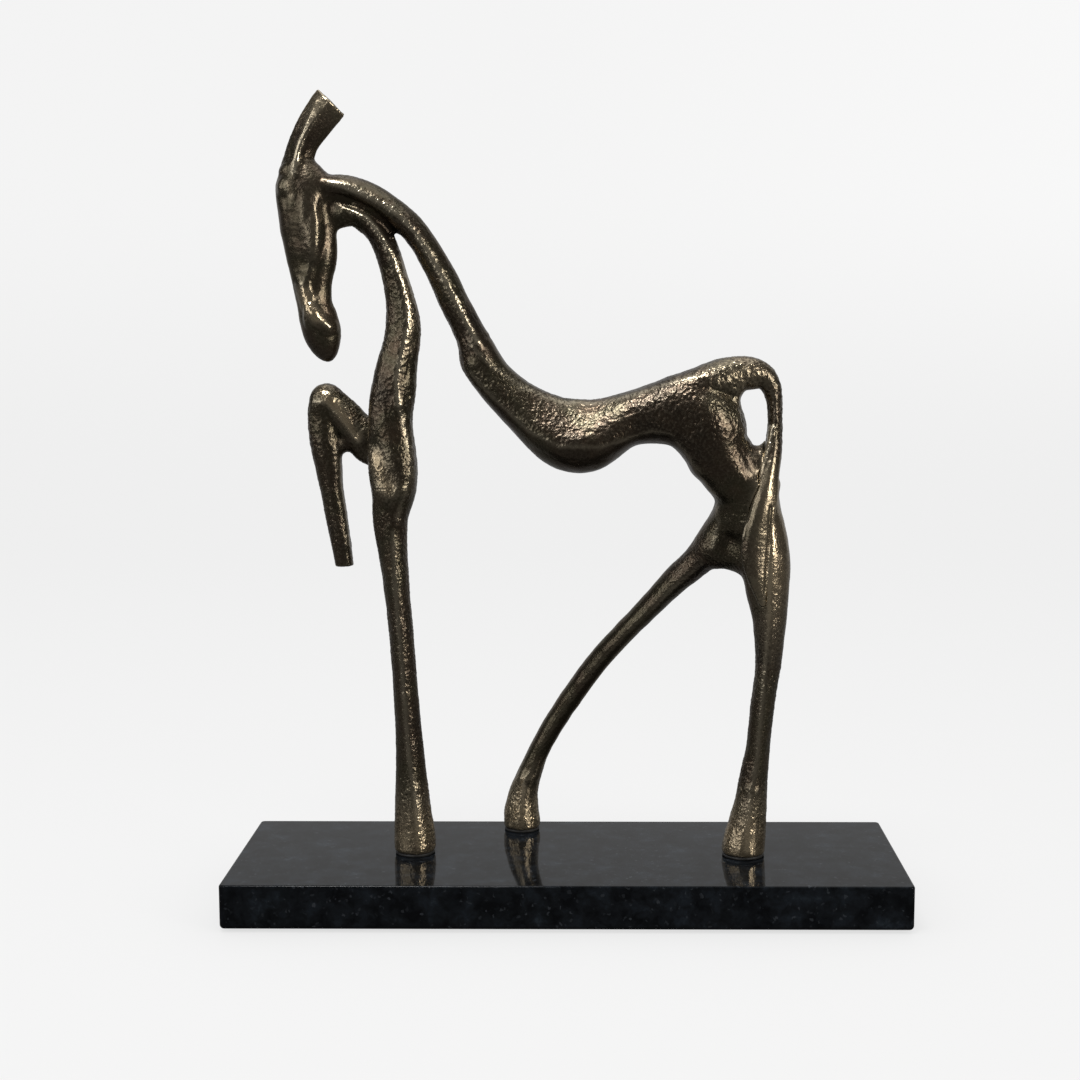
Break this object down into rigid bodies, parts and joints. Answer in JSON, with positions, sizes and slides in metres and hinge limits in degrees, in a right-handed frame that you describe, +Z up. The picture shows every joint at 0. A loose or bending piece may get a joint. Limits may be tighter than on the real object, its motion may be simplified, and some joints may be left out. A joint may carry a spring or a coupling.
{
  "type": "bronze horse statue on a stone plinth",
  "caption": "Slender abstract standing horse in cast bronze, brazed from several castings and bolted through a polished black granite plinth on felt feet",
  "frame": {"origin": "the middle of the footprint at table level, on the underside of the felt feet", "axes": "+Z up; +X from the head end to the tail end, along the plinth's length; +Y across the plinth, from the near long side to the far one, the far one being the side towards which the splayed hind leg is set. The height is the longest extent, 0.368 m, and the plinth's depth along Y the shortest, 0.102 m."},
  "size_m": [0.305, 0.102, 0.3682],
  "materials": {
    "bronze": "dark brown patina over a hammered, pitted cast skin, rubbed brighter on the high spots",
    "granite": "polished black granite with faint grey mottling",
    "pad": "matt black",
    "zinc_steel": "bright zinc plate",
    "felt": "dense black felt"
  },
  "bodies": {
    "root": {"head_and_neck": "bronze", "ear_tuft": "bronze", "chest_and_front_leg": "bronze", "raised_front_leg": "bronze", "body": "bronze", "far_hind_leg": "bronze", "near_hind_leg": "bronze", "tail": "bronze", "granite_plinth": "granite", "front_hoof_pad": "pad", "near_hind_hoof_pad": "pad", "far_hind_hoof_pad": "pad", "front_stud": "zinc_steel", "near_hind_stud": "zinc_steel", "far_hind_stud": "zinc_steel", "front_washer": "zinc_steel", "near_hind_washer": "zinc_steel", "far_hind_washer": "zinc_steel", "front_nut": "zinc_steel", "near_hind_nut": "zinc_steel", "far_hind_nut": "zinc_steel", "front_left_felt_foot": "felt", "front_right_felt_foot": "felt", "back_left_felt_foot": "felt", "back_right_felt_foot": "felt"}
  },
  "joints": []
}
